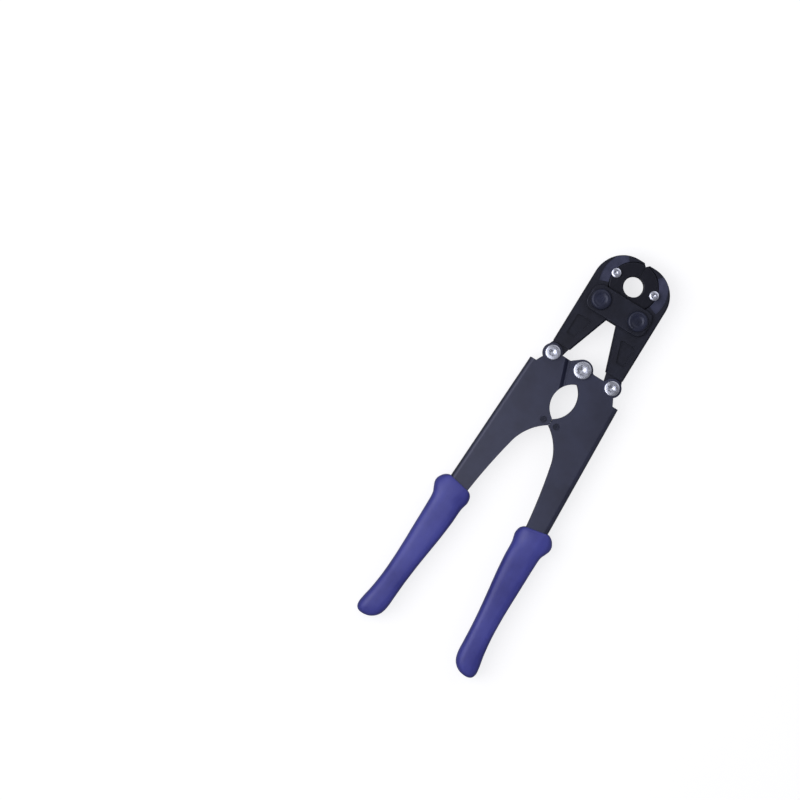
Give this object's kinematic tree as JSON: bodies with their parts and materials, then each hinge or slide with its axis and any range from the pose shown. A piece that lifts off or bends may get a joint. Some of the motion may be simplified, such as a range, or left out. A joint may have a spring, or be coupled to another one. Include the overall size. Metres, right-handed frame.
{
  "type": "pex crimp ring tool",
  "caption": "Two-handed toggle crimper for copper crimp rings: twin jaws with bolted die halves, strap-linked pivots, folded steel handles and soft grips.",
  "frame": {"origin": "centre of the closed crimp bore, halfway through the 16 mm thickness of the jaws", "axes": "+Y from the handles to the head, +Z out of the front face along the crimp bore, +X to the tool's right seen from the front"},
  "size_m": [0.1198, 0.3874, 0.034],
  "materials": {
    "black_oxide_jaws": "black oxide on forged steel, satin",
    "hardened_dies": "black oxide on machined tool steel, satin",
    "black_straps": "black oxide on plate steel, satin",
    "black_pivots": "black oxide on turned steel, semi-gloss",
    "coated_handles": "black powder coat on folded sheet steel, semi-gloss",
    "soft_grips": "blue vinyl, satin",
    "stop_steel": "oiled steel",
    "zinc_fasteners": "bright zinc plate"
  },
  "bodies": {
    "head": {"front_strap": "black_straps", "rear_strap": "black_straps", "left_pivot_pin": "black_pivots", "right_pivot_pin": "black_pivots", "left_pivot_nut": "black_pivots", "right_pivot_nut": "black_pivots"},
    "jaw_right": {"right_jaw": "black_oxide_jaws", "right_die_half": "hardened_dies", "right_die_screw": "zinc_fasteners"},
    "handle_right": {"right_handle_channel": "coated_handles", "right_grip": "soft_grips", "right_toggle_bolt": "zinc_fasteners", "right_toggle_washer": "zinc_fasteners", "right_toggle_nut": "zinc_fasteners", "centre_bolt": "zinc_fasteners", "centre_washer": "zinc_fasteners", "centre_nut": "zinc_fasteners", "right_stop_block": "stop_steel", "right_stop_screws": "stop_steel"},
    "handle_left": {"left_handle_channel": "coated_handles", "left_grip": "soft_grips", "left_toggle_bolt": "zinc_fasteners", "left_toggle_washer": "zinc_fasteners", "left_toggle_nut": "zinc_fasteners", "centre_spacer": "stop_steel", "left_stop_block": "stop_steel", "left_stop_screws": "stop_steel", "stop_adjusting_screw": "stop_steel", "stop_lock_nut": "stop_steel"},
    "jaw_left": {"left_jaw": "black_oxide_jaws", "left_die_half": "hardened_dies", "left_die_screw": "zinc_fasteners"}
  },
  "joints": [
    {"name": "right_jaw_pivot", "type": "hinge", "parent": "head", "child": "jaw_right", "pos_m": [0.0185, -0.024, 0], "axis": [0, 0, -1], "range_deg": [0, 15.2]},
    {"name": "right_toggle_pivot", "type": "hinge", "parent": "jaw_right", "child": "handle_right", "pos_m": [0.03, -0.085, 0], "axis": [0, 0, 1], "range_deg": [0, 78.2]},
    {"name": "handles_centre_pivot", "type": "hinge", "parent": "handle_right", "child": "handle_left", "pos_m": [0, -0.085, 0], "axis": [0, 0, -1], "range_deg": [0, 126]},
    {"name": "left_toggle_pivot", "type": "hinge", "parent": "handle_left", "child": "jaw_left", "pos_m": [-0.03, -0.085, 0], "axis": [0, 0, 1], "range_deg": [0, 78.2]}
  ],
  "couplings": [
    {"joint": "right_jaw_pivot", "follows": "handles_centre_pivot", "ratio": 0.12052},
    {"joint": "right_toggle_pivot", "follows": "handles_centre_pivot", "ratio": 0.62052},
    {"joint": "left_toggle_pivot", "follows": "handles_centre_pivot", "ratio": 0.62052}
  ]
}
